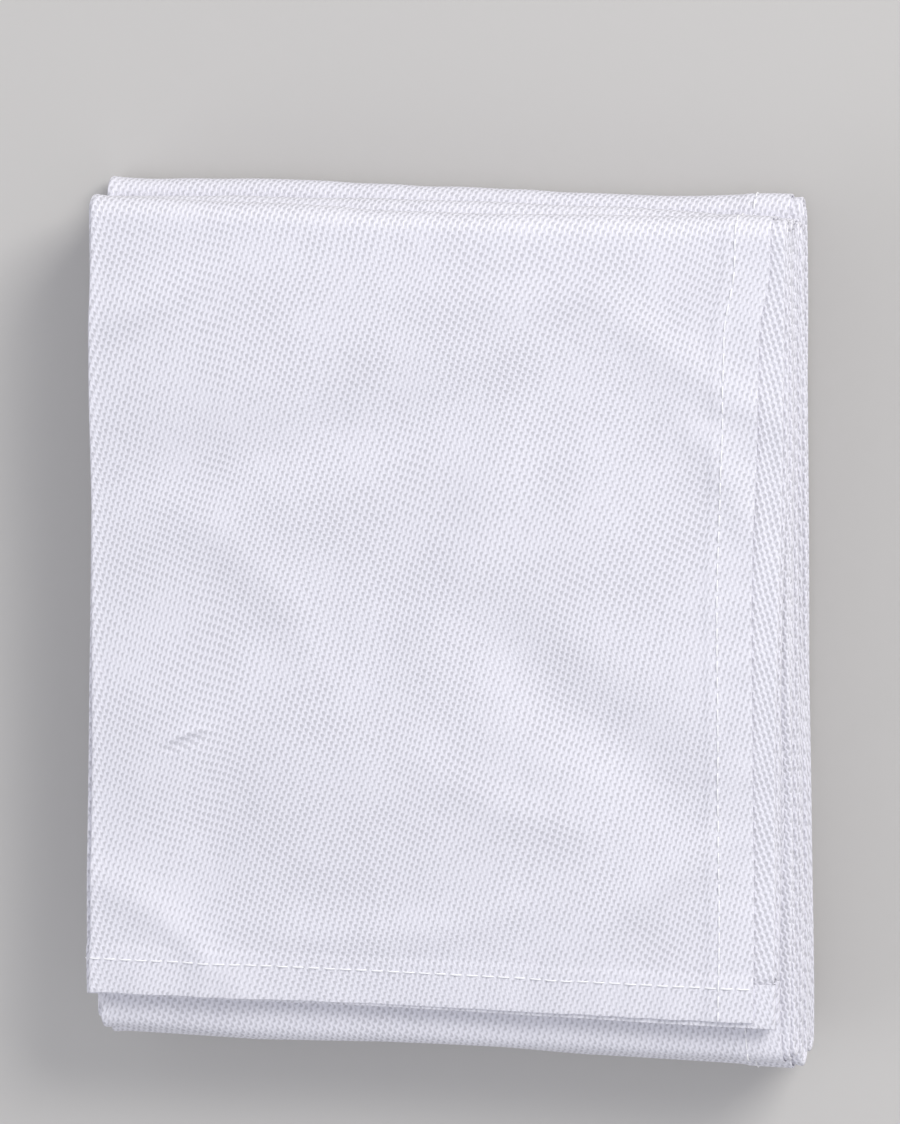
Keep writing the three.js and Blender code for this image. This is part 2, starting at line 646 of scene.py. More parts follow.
@dataclass(frozen=True)
class Wrinkle:
    """A soft ridge in the cloth, or a trough where its height is negative.

    Lengths are in millimetres and its heading in degrees. The bow is how far its ends bend aside.
    """

    x: float
    y: float
    heading: float
    length: float
    width: float
    height: float
    bow: float = 0.0

    def relief(self, x: np.ndarray, y: np.ndarray) -> np.ndarray:
        """Work out its height at places on the packet.

        Args:
            x: Places across the packet, in metres.
            y: Places along the packet, in metres.

        Returns:
            The height in metres at each place.
        """
        along, across = turned(x / MM - self.x, y / MM - self.y, self.heading)
        along = along / (self.length / 2)
        across = (across - self.bow * along**2) / (self.width / 2)
        return self.height * MM * np.exp(-(along**2) - across**2)


@dataclass(frozen=True)
class Swell:
    """A long wave through the whole pile, in millimetres and degrees."""

    height: float
    wave: float
    heading: float
    phase: float

    def rise(self, x: np.ndarray, y: np.ndarray) -> np.ndarray:
        """Work out its height at places on the packet, all in metres."""
        along, _ = turned(x, y, self.heading)
        turn = math.tau * along / (self.wave * MM) + math.radians(self.phase)
        return self.height * MM * np.sin(turn)


# From the free end underneath to the free end on the face
FOLDS = (
    Fold(end=3.2, left=1.6, right=0.8),
    Fold(end=0.0, left=0.3, right=1.9),
    Fold(end=0.9, left=1.5, right=0.2),
    Fold(end=2.1, left=0.0, right=1.4),
    Fold(end=0.0, left=1.8, right=0.0),
    Fold(end=0.7, left=0.6, right=1.7),
    Fold(end=2.0, left=1.1, right=0.4),
    Fold(end=0.3, left=2.2, right=1.0),
    Fold(end=9.5, left=0.5, right=2.8),
)

SWELLS = (
    Swell(height=0.45, wave=118, heading=25, phase=40),
    Swell(height=0.3, wave=74, heading=112, phase=200),
    Swell(height=0.2, wave=52, heading=63, phase=310),
)

# Broad creases pressed into the pile
CREASES = (
    Wrinkle(x=-22, y=34, heading=14, length=62, width=15, height=-1.5),
    Wrinkle(x=27, y=-12, heading=-38, length=54, width=14, height=-1.3),
    Wrinkle(x=-38, y=-34, heading=72, length=44, width=13, height=-1.1),
)

# Finer wrinkles of the topmost plies, most of them near the corners, where the cloth is slack
FACE_WRINKLES = (
    Wrinkle(x=43, y=50, heading=-36, length=52, width=7.0, height=0.95, bow=4.0),
    Wrinkle(x=51, y=31, heading=-60, length=40, width=5.5, height=0.7, bow=-3.0),
    Wrinkle(x=33, y=-45, heading=41, length=50, width=7.0, height=0.9, bow=-4.0),
    Wrinkle(x=47, y=-30, heading=62, length=36, width=5.0, height=0.6, bow=2.0),
    Wrinkle(x=-48, y=58, heading=31, length=38, width=6.0, height=0.8, bow=3.0),
    Wrinkle(x=-30, y=66, heading=12, length=34, width=5.0, height=0.5, bow=-2.0),
    Wrinkle(x=-50, y=-50, heading=-34, length=40, width=6.0, height=0.8, bow=-3.0),
    Wrinkle(x=4, y=10, heading=64, length=66, width=10.0, height=0.8, bow=5.0),
    Wrinkle(x=-6, y=-52, heading=9, length=44, width=6.5, height=0.6, bow=2.5),
    Wrinkle(x=17, y=61, heading=5, length=44, width=6.0, height=0.55, bow=2.0),
    Wrinkle(x=-28, y=8, heading=-50, length=40, width=8.0, height=0.6, bow=-3.5),
    Wrinkle(x=12, y=-28, heading=-20, length=34, width=6.0, height=0.45, bow=2.0),
)

# The small pucker left of the middle: its raised lips, and the dip between them
PUCKER = (
    Wrinkle(x=-44.0, y=-18.1, heading=24, length=8.4, width=1.3, height=0.4, bow=-0.8),
    Wrinkle(x=-44.0, y=-21.0, heading=24, length=8.0, width=1.2, height=0.24, bow=0.8),
    Wrinkle(x=-44.0, y=-19.5, heading=24, length=8.2, width=2.4, height=-0.34),
)


@dataclass
class FoldedNet:
    """The net: one hemmed sheet, and the rule that takes a place on the flat cloth to the packet.

    On the flat cloth, u runs across the width and v along the length. The cloth is first folded
    across u into plies. The strip of plies then goes back and forth along v, one layer on another.
    """

    packet_width: float
    packet_length: float
    packet_height: float
    layers: int = 8
    plies: int = 8
    ply_gap: float = 0.4 * MM
    ply_width: float = 124.0 * MM
    loop_radius: float = 0.36 * MM
    loop_closing: float = 5.0
    loop_uneven: float = 0.16
    loop_waves: Waves = Waves(40 * MM, start=40)
    floor_clearance: float = 0.84 * MM
    face_clearance: float = 0.1 * MM
    hem_width: float = 8.0 * MM
    hem_radius: float = 0.165 * MM
    hem_release: float = 1.2 * MM
    hem_loop_share: float = 0.66
    hem_side_inset: float = 1.6 * MM
    hem_inset_least: float = 0.6
    face_hem_inset: float = 1.6 * MM
    edge_wander: float = 0.75 * MM
    edge_waves: Waves = Waves(32 * MM)
    skew: float = 1.3 * MM
    skew_waves: Waves = Waves(95 * MM, start=8)
    end_stagger: float = 1.7 * MM
    end_stagger_run: float = 20 * MM
    stagger_waves: Waves = Waves(1.0, start=2)
    end_swell: float = 0.12
    turn_wander: float = 0.8 * MM
    turn_waves: Waves = Waves(31 * MM, start=12)
    turn_crumple: float = 0.28 * MM
    crumple_waves: Waves = Waves(6 * MM)
    layer_lift: float = 0.22 * MM
    layer_lift_reach: float = 9.0 * MM
    layer_waves: Waves = Waves(27 * MM, start=33)
    edge_drop: float = 1.1 * MM
    edge_drop_power: int = 6
    face_blend: tuple[float, float] = (0.03, 0.12)
    face_give: float = 0.62
    face_waver: float = 0.26 * MM
    face_waves: Waves = Waves(23 * MM, start=6)
    face_fine_waver: float = 0.09 * MM
    face_fine_waves: Waves = Waves(6.5 * MM, start=30)
    hem_ripple: float = 0.42 * MM
    hem_ripple_wave: float = 7.5 * MM
    hem_ripple_drift: float = 0.9
    hem_ripple_reach: float = 9.0 * MM
    hem_ripple_waves: Waves = Waves(17 * MM, start=11)
    seed: int = 41
    noise: SoftNoise = field(init=False)

    def __post_init__(self) -> None:
        """Work out the folded line from the packet's size."""
        self.noise = SoftNoise(self.seed)
        half_pile = (self.plies - 1) / 2 * self.ply_gap
        self.lowest_mid = half_pile + self.floor_clearance
        highest_mid = self.packet_height - half_pile - self.face_clearance
        self.pitch = (highest_mid - self.lowest_mid) / (self.layers - 1)
        self.turn_radius = self.pitch / 2

        sides = np.array([1 if fold % 2 else -1 for fold in range(self.layers + 1)])
        outside = self.packet_length / 2 - np.array([fold.end for fold in FOLDS]) * MM
        inset = np.full(self.layers + 1, self.turn_radius + half_pile + self.ply_gap / 2)
        inset[[0, -1]] = 0.0
        self.fold_y = sides * (outside - inset)
        self.runs = np.abs(np.diff(self.fold_y))

        turn = math.pi * self.turn_radius
        pieces = [length for run in self.runs for length in (run, turn)][:-1]
        self.starts = np.concatenate([[0.0], np.cumsum(pieces)])
        self.length = float(self.starts[-1])
        self.width = self.plies * self.ply_width

    @property
    def cut_size(self) -> tuple[float, float]:
        """Width and length of the cloth before its hems were turned."""
        return self.width + 2 * self.hem_width, self.length + 2 * self.hem_width

    def _line(self, v: np.ndarray) -> dict[str, np.ndarray]:
        """Follow the folded line, which is the middle of the strip of plies seen from its side.

        Args:
            v: Places along the cloth.

        Returns:
            For each place its y and z, the strip's upward direction there, the fold count so far,
            how far round a turn it is from 0 to 1, and the layer.
        """
        piece = np.clip(np.searchsorted(self.starts, v, side="right") - 1, 0, 2 * self.layers - 2)
        layer, in_turn = piece // 2, piece % 2 == 1
        past = v - self.starts[piece]
        heading = np.where(layer % 2 == 0, 1.0, -1.0)
        mid = self.lowest_mid + layer * self.pitch
        angle = np.clip(past / self.turn_radius, 0, math.pi) - math.pi / 2
        turn_y = self.fold_y[np.minimum(layer + 1, self.layers)]
        return {
            "y": np.where(
                in_turn,
                turn_y + heading * self.turn_radius * np.cos(angle),
                self.fold_y[layer] + heading * past,
            ),
            "z": np.where(in_turn, mid + self.turn_radius * (1 + np.sin(angle)), mid),
            "up_y": np.where(in_turn, -np.cos(angle), 0.0),
            "up_z": np.where(in_turn, -heading * np.sin(angle), heading),
            "fold": np.where(in_turn, layer + 1.0, layer + past / self.runs[layer]),
            "bend": np.where(in_turn, np.cos(angle), 0.0),
            "side": heading,
            "layer": layer,
        }

    def _edge(self, edge: np.ndarray, v: np.ndarray, fold: np.ndarray) -> np.ndarray:
        """Find where a hem or a fold between two plies lies across the packet.

        Args:
            edge: Number of the fold across the width, 0 and the last one being the hems.
            v: Places along the cloth.
            fold: Fold count at those places.

        Returns:
            The x of the outermost point there.
        """
        side = np.where(edge % 2 == 0, 1.0, -1.0)
        before = np.clip(np.floor(fold).astype(int), 0, self.layers - 1)
        share = ease(fold - before, 0.0, 1.0)
        trims = np.array([[f.left, f.right] for f in FOLDS]) * MM
        column = np.where(side > 0, 1, 0)
        trim = trims[before, column] * (1 - share) + trims[before + 1, column] * share
        wander = from_zero(self.edge_waves.along(self.noise, v, edge))
        skew = from_zero(self.skew_waves.along(self.noise, v, edge))
        inset = self.edge_wander * wander + self.skew * skew
        is_hem = (edge == 0) | (edge == self.plies)
        inset = inset + is_hem * self.hem_side_inset * (self.hem_inset_least + wander)
        inset = inset + self._on_face(fold) * (edge == 0) * self.face_hem_inset
        return side * (self.packet_width / 2 - trim - inset)

    def _on_face(self, fold: np.ndarray) -> np.ndarray:
        """Say from 0 to 1 whether a fold count is on the topmost layer, past the turn below it."""
        return ease(fold - (self.layers - 1), *self.face_blend)

    def _loop(self, away: np.ndarray, radius: np.ndarray) -> tuple[np.ndarray, ...]:
        """Shape the rounded loop where two plies join.

        Args:
            away: Distance along the cloth from the loop's tip.
            radius: The loop's radius, or 0 at a hem.

        Returns:
            How far in from the tip the cloth lies, how far up from between the two plies, and the
            cosine and sine of the angle that it has turned through there.
        """
        safe = np.maximum(radius, TINY)
        round_run = safe * math.pi / 2
        angle = np.minimum(away, round_run) / safe
        rise = safe * np.sin(angle)
        closing = ease(away, round_run, round_run + self.loop_closing * safe)
        rise = rise + (self.ply_gap / 2 - safe) * closing
        inward = safe * (1 - np.cos(angle))
        is_loop = radius > 0
        cosine, sine = np.where(is_loop, np.cos(angle), 0.0), np.where(is_loop, np.sin(angle), 1.0)
        return inward, np.where(is_loop, rise, self.ply_gap / 2), cosine, sine

    def _turn_hem(
        self, place: np.ndarray, size: float
    ) -> tuple[np.ndarray, np.ndarray, np.ndarray]:
        """Bring a place on a turned hem back over the cloth that it is sewn to.

        The cloth goes round the edge in a half circle, so it and its hem lie a radius to either side
        of the middle, and past the hem the cloth comes back to the middle.

        Args:
            place: Places along the cloth, below 0 or past size on a hem.
            size: Finished size of the cloth that way.

        Returns:
            The places that they lie over, how far towards the back of the cloth they lie, and the
            distance to the nearer edge.
        """
        far_end = place > size / 2
        past_edge = np.where(far_end, size - place, place)
        away = np.abs(past_edge)
        angle = np.minimum(away / self.hem_radius, math.pi / 2)
        inward = self.hem_radius * (1 - np.cos(angle))
        inward = inward + np.maximum(away - self.hem_radius * math.pi / 2, 0.0)
        release = 1 - ease(away, self.hem_width, self.hem_width + self.hem_release)
        behind = np.where(past_edge < 0, 1.0, -release) * self.hem_radius * np.sin(angle)
        return np.where(far_end, size - inward, inward), behind, inward

    def _face_relief(self, x: np.ndarray, y: np.ndarray, u: np.ndarray, v: np.ndarray) -> np.ndarray:
        """Work out the fine relief of the topmost ply: its wrinkles, and ripples along its hems.

        Args:
            x: Places across the packet.
            y: Places along the packet.
            u: The same places across the cloth's width.
            v: The same places along the cloth's length.

        Returns:
            The height of each place over flat cloth.
        """
        relief = sum(wrinkle.relief(x, y) for wrinkle in FACE_WRINKLES + PUCKER)
        relief = relief + self.face_waver * (1 + self.face_waves.over(self.noise, x, y))
        relief = relief + self.face_fine_waver * self.face_fine_waves.over(self.noise, x, y)
        for hem, (from_hem, run) in enumerate(((u, v), (self.length - v, u))):
            near = np.exp(-np.maximum(from_hem, 0.0) / self.hem_ripple_reach)
            drift = self.hem_ripple_waves.along(self.noise, run, hem)
            strength = from_zero(self.hem_ripple_waves.along(self.noise, run, hem + 2))
            phase = run / self.hem_ripple_wave + self.hem_ripple_drift * drift
            ripple = from_zero(np.sin(math.tau * phase))
            relief = relief + self.hem_ripple * strength * ripple * near
        return relief

    def _settle(self, x: np.ndarray, y: np.ndarray, z: np.ndarray) -> np.ndarray:
        """Let the pile give under its own softness: nothing underneath, all of it on the face.

        Args:
            x: Places across the packet.
            y: Places along the packet.
            z: Their height in a pile that doesn't give.

        Returns:
            Their height in the real one.
        """
        side_share = np.abs(2 * x / self.packet_width) ** self.edge_drop_power
        end_share = np.abs(2 * y / self.packet_length) ** self.edge_drop_power
        rise = -self.edge_drop * np.minimum(1, side_share + end_share)
        rise = rise + sum(swell.rise(x, y) for swell in SWELLS)
        share = z / self.packet_height
        return z + share * rise + share**3 * sum(crease.relief(x, y) for crease in CREASES)

    def _across(
        self,
        u: np.ndarray,
        v: np.ndarray,
        behind: np.ndarray,
        from_end: np.ndarray,
        fold: np.ndarray,
    ) -> tuple[np.ndarray, ...]:
        """Fold the plies across the packet, each from the fold before it to the one after it.

        Args:
            u: Places across the width.
            v: Places along the length.
            behind: How far they lie off the cloth, positive towards its back.
            from_end: Distance to the nearer free end.
            fold: Fold count at those places.

        Returns:
            For each place its ply, how far along the ply it is from 0 to 1, its x, and its height
            over the middle of the strip of plies.
        """
        ply = np.clip((u // self.ply_width).astype(int), 0, self.plies - 1)
        before = u - ply * self.ply_width
        after = (ply + 1) * self.ply_width - u
        past_hem = ease(from_end, self.hem_width, self.hem_width + self.hem_release)
        radii = 1 + self.loop_uneven * self.loop_waves.along(self.noise, v, ply)
        radii = radii * self.loop_radius * (self.hem_loop_share * (1 - past_hem) + past_hem)
        radius_before = np.where(ply > 0, radii, 0.0)
        radius_after = np.where(ply < self.plies - 1, radii, 0.0)
        tip_before, tip_after = self._edge(ply, v, fold), self._edge(ply + 1, v, fold)
        side_before, side_after = np.sign(tip_before), np.sign(tip_after)
        in_before, rise_before, cos_before, sin_before = self._loop(before, radius_before)
        in_after, rise_after, cos_after, sin_after = self._loop(after, radius_after)
        round_before, round_after = radius_before * math.pi / 2, radius_after * math.pi / 2
        straight = self.ply_width - round_before - round_after
        share = np.clip((before - round_before) / straight, 0.0, 1.0)
        x = (1 - share) * (tip_before - side_before * in_before)
        x = x + share * (tip_after - side_after * in_after)

        # Off the cloth along its own normal, which turns over from each ply to the next
        behind = behind * np.where(ply % 2 == 0, 1.0, -1.0)
        x = x + behind * (side_before * cos_before - side_after * cos_after)

        # Through the pile: the ply's own height, opened out at its loops
        middle = (ply - (self.plies - 1) / 2) * self.ply_gap
        height = middle + (rise_before - self.ply_gap / 2) - (rise_after - self.ply_gap / 2)
        height = height * (1 + self.end_swell * np.exp(-((from_end / self.hem_width) ** 2)))
        return ply, share, x, height + behind * sin_before * sin_after

    def place(self, u: np.ndarray, v: np.ndarray, lift: float = 0.0) -> np.ndarray:
        """Take places on the flat cloth to where they lie in the packet.

        Args:
            u: Places across the width. Below 0 or past the width they are on a turned hem.
            v: Places along the length, likewise.
            lift: Distance off the cloth, positive towards its back, where its hems are turned.

        Returns:
            An array of points, one row each.
        """
        u, hem_u, _ = self._turn_hem(u, self.width)
        v, hem_v, from_end = self._turn_hem(v, self.length)
        line = self._line(v)
        behind = hem_u + hem_v + lift
        ply, share, x, height = self._across(u, v, behind, from_end, line["fold"])
        pile_place = np.clip(height / self.ply_gap + (self.plies - 1) / 2, 0, self.plies - 1)

        # Round a turn the outermost ply crumples a little, less so the plies inside it
        from_outside = np.where(line["side"] > 0, pile_place, self.plies - 1 - pile_place)
        crumple = from_zero(self.crumple_waves.over(self.noise, x, v))
        crumple = self.turn_crumple * crumple * line["bend"] * self.face_give**from_outside
        height = height + np.where(line["side"] > 0, -crumple, crumple)

        y = line["y"] + height * line["up_y"]
        z = line["z"] + height * line["up_z"]
        reach = self.turn_waves.along(self.noise, x, line["layer"])
        y = y + line["side"] * line["bend"] * self.turn_wander * reach

        # The plies' free ends lie a little fanned, and the layers' sides part a little here and there
        end_before = self.stagger_waves.along(self.noise, line["layer"], ply)
        end_after = self.stagger_waves.along(self.noise, line["layer"], ply + 1)
        stagger = from_zero(end_before * (1 - share) + end_after * share)
        y = y + self.end_stagger * stagger * (1 - ease(from_end, 0, self.end_stagger_run))
        from_side = self.packet_width / 2 - np.abs(x)
        near_side = np.exp(-((from_side / self.layer_lift_reach) ** 2))
        part = self.layer_waves.along(self.noise, v, np.sign(x)) * (1 - line["bend"])
        z = z + self.layer_lift * near_side * part * np.minimum(line["layer"], 1)

        give = self._on_face(line["fold"]) * self.face_give**pile_place
        z = z + give * self._face_relief(x, y, u, v)
        return np.column_stack([x, y, self._settle(x, y, z)])


def steps(start: float, end: float, size: float) -> np.ndarray:
    """Space places evenly, no further apart than a given size.

    Args:
        start: The first place.
        end: The last place.
        size: The widest gap allowed.

    Returns:
        The places, both ends with them.
    """
    return np.linspace(start, end, max(2, math.ceil((end - start) / size) + 1))


@dataclass
class SheetMesh:
    """Cuts the net's flat cloth into a grid that is finest where it bends and where it shows."""

    net: FoldedNet
    plain_step_across: float = 12.0 * MM
    second_step_across: float = 4.0 * MM
    face_step_across: float = 2.0 * MM
    plain_step_along: float = 9.0 * MM
    face_step_along: float = 1.9 * MM
    pucker_step: float = 0.45 * MM
    pucker_half: float = 4.6 * MM
    pucker_aspect: float = 0.75
    turn_steps: int = 9
    loop_angles: int = 3
    loop_closing_radii: tuple[float, ...] = (1.2, 2.6, 4.6)
    hem_start: float = 1.2 * MM
    hem_step: float = 2.2 * MM
    plain_inset: float = 3.2 * MM
    least_step: float = 0.06 * MM
    pull: float = 1.1 * MM
    pull_waves: Waves = Waves(26 * MM, start=50)
    slip: float = 0.16 * MM
    slip_waves: Waves = Waves(5 * MM, start=50)
    mean_spread: float = 0.7
    least_spread: float = 0.15
    broad_spread: float = 0.62
    broad_waves: Waves = Waves(9 * MM, start=5)
    fine_spread: float = 0.32
    fine_waves: Waves = Waves(3 * MM, start=31)
    hem_closing: float = 0.42
    hem_closing_run: float = 0.4 * MM
    pucker_spread: float = 1.7
    pucker_rim: tuple[float, float] = (0.22, 0.42)

    def _hem_places(self, size: float) -> np.ndarray:
        """Space the grid on and next to both turned hems.

        Args:
            size: Finished size of the cloth that way.

        Returns:
            The places, in no order.
        """
        hem = self.net.hem_width
        round_edge = np.linspace(0, math.pi / 2, self.loop_angles + 1) * self.net.hem_radius
        flat = steps(self.hem_start, hem, self.hem_step)
        release = steps(hem, hem + self.net.hem_release, self.net.hem_release / 3)
        one_end = np.concatenate([-round_edge, -flat, round_edge, flat[:1], release])
        return np.concatenate([one_end, size - one_end])

    def across(self) -> np.ndarray:
        """Space the grid across the width: finest on the ply that shows, and round every loop.

        Returns:
            The places in order.
        """
        net = self.net
        places = [self._hem_places(net.width)]
        for ply in range(net.plies):
            start, end = ply * net.ply_width, (ply + 1) * net.ply_width
            size = {0: self.face_step_across, 1: self.second_step_across}.get(
                ply, self.plain_step_across
            )
            places.append(steps(start + self.plain_inset, end - self.plain_inset, size))
            if ply:
                arc = net.loop_radius * math.pi / 2
                round_part = np.linspace(0, arc, self.loop_angles + 1)
                closing = arc + net.loop_radius * np.array(self.loop_closing_radii)
                beside = np.concatenate([round_part, closing])
                places += [start - beside, start + beside]
        middle = self._face_u(PUCKER[0].x * MM)
        places.append(steps(middle - self.pucker_half, middle + self.pucker_half, self.pucker_step))
        return self._tidy(np.concatenate(places), -net.hem_width, net.width + net.hem_width)

    def along(self) -> np.ndarray:
        """Space the grid along the length: finest on the layer that shows, and round every turn.

        Returns:
            The places in order.
        """
        net = self.net
        places = [self._hem_places(net.length)]
        for layer in range(net.layers):
            start = net.starts[2 * layer]
            end = start + net.runs[layer]
            size = self.face_step_along if layer == net.layers - 1 else self.plain_step_along
            places.append(steps(start, end, size))
            if layer < net.layers - 1:
                turn = net.starts[2 * layer + 2] - end
                places.append(end + turn * np.arange(1, self.turn_steps) / self.turn_steps)
        run_start, fold_y = net.starts[-2], net.fold_y[net.layers - 1]
        middle = run_start + (fold_y - PUCKER[-1].y * MM)
        half = self.pucker_half * self.pucker_aspect
        places.append(steps(middle - half, middle + half, self.pucker_step))
        return self._tidy(np.concatenate(places), -net.hem_width, net.length + net.hem_width)

    def _face_u(self, x: float) -> float:
        """Return the place across the width that lies at this x on the topmost ply."""
        half = self.net.packet_width / 2
        return (half - x) / (2 * half) * self.net.ply_width

    def _tidy(self, places: np.ndarray, low: float, high: float) -> np.ndarray:
        """Sort the places, keep them in range, and drop those that nearly coincide.

        Args:
            places: The places in any order.
            low: The first place allowed.
            high: The last place allowed.

        Returns:
            The places that are kept, in order.
        """
        places = np.sort(np.clip(places, low, high))
        keep = np.concatenate([[True], np.diff(places) > self.least_step])
        return places[keep]

    def _knit_places(
        self, points: np.ndarray, across: np.ndarray, along: np.ndarray
    ) -> np.ndarray:
        """Find where each grid place lies on the knit.

        The knit keeps its real size wherever the cloth goes the long way round a turn. It is never
        quite square either: its wales bend over a few centimetres, and slip a little here and there.

        Args:
            points: The grid's points in the packet, rows across the width first.
            across: The grid's places across the width.
            along: The grid's places along the length.

        Returns:
            A place in metres on the knit for each point.
        """
        strides = np.linalg.norm(np.diff(points, axis=1), axis=2)
        true_along = np.pad(np.cumsum(strides, axis=1), ((0, 0), (1, 0))) + along[0]
        u, v = np.meshgrid(across, along, indexing="ij")
        noise = self.net.noise
        for waves, amount in ((self.pull_waves, self.pull), (self.slip_waves, self.slip)):
            sideways, lengthways = waves.over(noise, u, v), waves.over(noise, v, u)
            u = u + amount * sideways
            true_along = true_along + amount * lengthways
        return np.column_stack([u.ravel(), true_along.ravel()])

    def _spread(self, u: np.ndarray, v: np.ndarray, points: np.ndarray) -> np.ndarray:
        """Work out how far the knit's holes are pulled open: less in the hems, most in the pucker.

        Args:
            u: Places across the width.
            v: Places along the length.
            points: The same places in the packet, one row each.

        Returns:
            A factor on the holes' width at each place.
        """
        dip = PUCKER[-1]
        depth = dip.relief(points[:, 0], points[:, 1]) / (dip.height * MM)
        on_top = (u < self.net.ply_width) & (v > self.net.starts[-2])
        pucker = self.pucker_spread * ease(depth, *self.pucker_rim) * on_top
        broad = self.broad_waves.over(self.net.noise, u, v)
        fine = self.fine_waves.over(self.net.noise, u, v)
        spread = self.mean_spread + self.broad_spread * broad + self.fine_spread * fine

        from_side = np.minimum(np.abs(u), np.abs(self.net.width - u))
        from_end = np.minimum(np.abs(v), np.abs(self.net.length - v))
        past_hem = np.minimum(from_side, from_end) - self.net.hem_width
        closed = self.hem_closing * (1 - ease(past_hem, 0.0, self.hem_closing_run))
        return np.maximum(spread * (1 - closed), self.least_spread) + pucker

    def build(self, name: str) -> bpy.types.Object:
        """Make the sheet.

        Args:
            name: The piece's name.

        Returns:
            The object, with the flat cloth's places in metres as its UV map.
        """
        across, along = self.across(), self.along()
        u, v = (grid.ravel() for grid in np.meshgrid(across, along, indexing="ij"))
        points = self.net.place(u, v)
        rows, columns = len(across), len(along)
        corner = (np.arange(rows - 1)[:, None] * columns + np.arange(columns - 1)).ravel()
        quads = np.column_stack([corner, corner + 1, corner + columns + 1, corner + columns])

        mesh = bpy.data.meshes.new(name)
        mesh.vertices.add(len(points))
        mesh.vertices.foreach_set("co", points.astype(np.float32).ravel())
        mesh.loops.add(quads.size)
        mesh.loops.foreach_set("vertex_index", quads.ravel().astype(np.int32))
        mesh.polygons.add(len(quads))
        mesh.polygons.foreach_set("loop_start", np.arange(0, quads.size, 4, dtype=np.int32))
        mesh.update(calc_edges=True)
        uv = mesh.uv_layers.new(name=CLOTH_UV)
        flat = self._knit_places(points.reshape(rows, columns, 3), across, along)[quads.ravel()]
        uv.data.foreach_set("uv", flat.astype(np.float32).ravel())
        spread = mesh.attributes.new(SPREAD, "FLOAT", "POINT")
        spread.data.foreach_set("value", self._spread(u, v, points).astype(np.float32))
        mesh.polygons.foreach_set("use_smooth", np.ones(len(quads), dtype=bool))
        mesh.validate()
        return plain_object(name, mesh)


